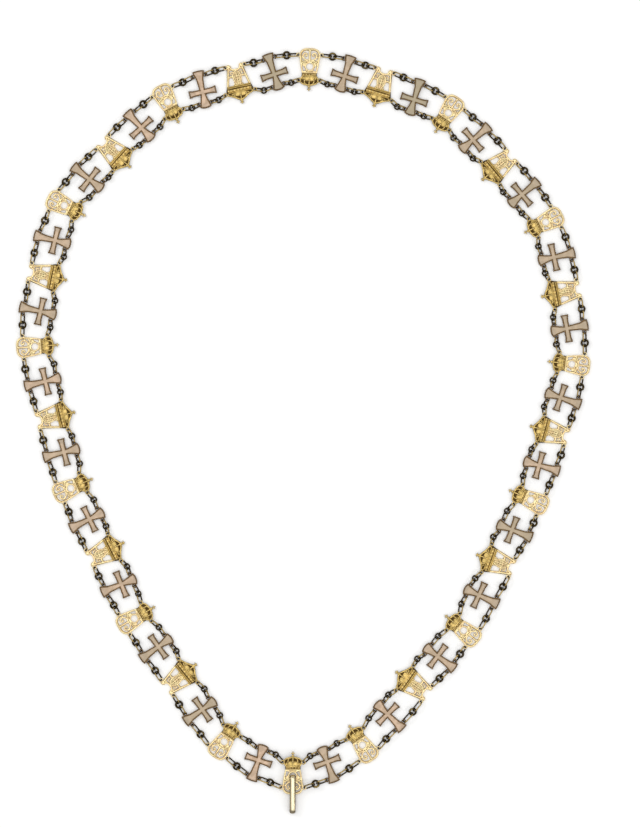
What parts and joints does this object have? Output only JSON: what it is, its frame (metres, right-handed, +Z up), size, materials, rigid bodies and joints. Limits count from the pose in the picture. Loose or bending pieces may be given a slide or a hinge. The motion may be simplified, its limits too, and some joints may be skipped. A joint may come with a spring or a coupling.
{
  "type": "chivalric order collar",
  "caption": "Ceremonial collar laid flat: enamelled crosses alternate with pierced gold plates topped by crowns, joined by short chains into a loop with a bail for a badge.",
  "frame": {"origin": "middle of the collar's box, on the surface it lies on", "axes": "+Y from the badge bail towards the back of the neck, +Z up from the surface, out of the plates' fronts"},
  "size_m": [0.3442, 0.459, 0.0051],
  "materials": {
    "cross_enamel": "glossy pinkish white enamel in a gold border",
    "plate_gold": "polished pale gold",
    "bail_gold": "polished gold"
  },
  "bodies": {
    "root": {"cross_link_01": "cross_enamel", "cross_link_02": "cross_enamel", "cross_link_03": "cross_enamel", "cross_link_04": "cross_enamel", "cross_link_05": "cross_enamel", "cross_link_06": "cross_enamel", "cross_link_07": "cross_enamel", "cross_link_08": "cross_enamel", "cross_link_09": "cross_enamel", "cross_link_10": "cross_enamel", "cross_link_11": "cross_enamel", "cross_link_12": "cross_enamel", "cross_link_13": "cross_enamel", "cross_link_14": "cross_enamel", "cross_link_15": "cross_enamel", "cross_link_16": "cross_enamel", "cross_link_17": "cross_enamel", "cross_link_18": "cross_enamel", "cross_link_19": "cross_enamel", "cross_link_20": "cross_enamel", "cross_link_21": "cross_enamel", "cross_link_22": "cross_enamel", "cross_link_23": "cross_enamel", "cross_link_24": "cross_enamel", "cross_link_25": "cross_enamel", "cross_link_26": "cross_enamel", "crown_link_01": "plate_gold", "crown_link_02": "plate_gold", "crown_link_03": "plate_gold", "crown_link_04": "plate_gold", "crown_link_05": "plate_gold", "crown_link_06": "plate_gold", "crown_link_07": "plate_gold", "crown_link_08": "plate_gold", "crown_link_09": "plate_gold", "crown_link_10": "plate_gold", "crown_link_11": "plate_gold", "crown_link_12": "plate_gold", "crown_link_13": "plate_gold", "crown_link_14": "plate_gold", "crown_link_15": "plate_gold", "crown_link_16": "plate_gold", "crown_link_17": "plate_gold", "crown_link_18": "plate_gold", "crown_link_19": "plate_gold", "crown_link_20": "plate_gold", "crown_link_21": "plate_gold", "crown_link_22": "plate_gold", "crown_link_23": "plate_gold", "crown_link_24": "plate_gold", "crown_link_25": "plate_gold", "crown_link_26": "plate_gold", "pendant_bail": "bail_gold"}
  },
  "joints": []
}
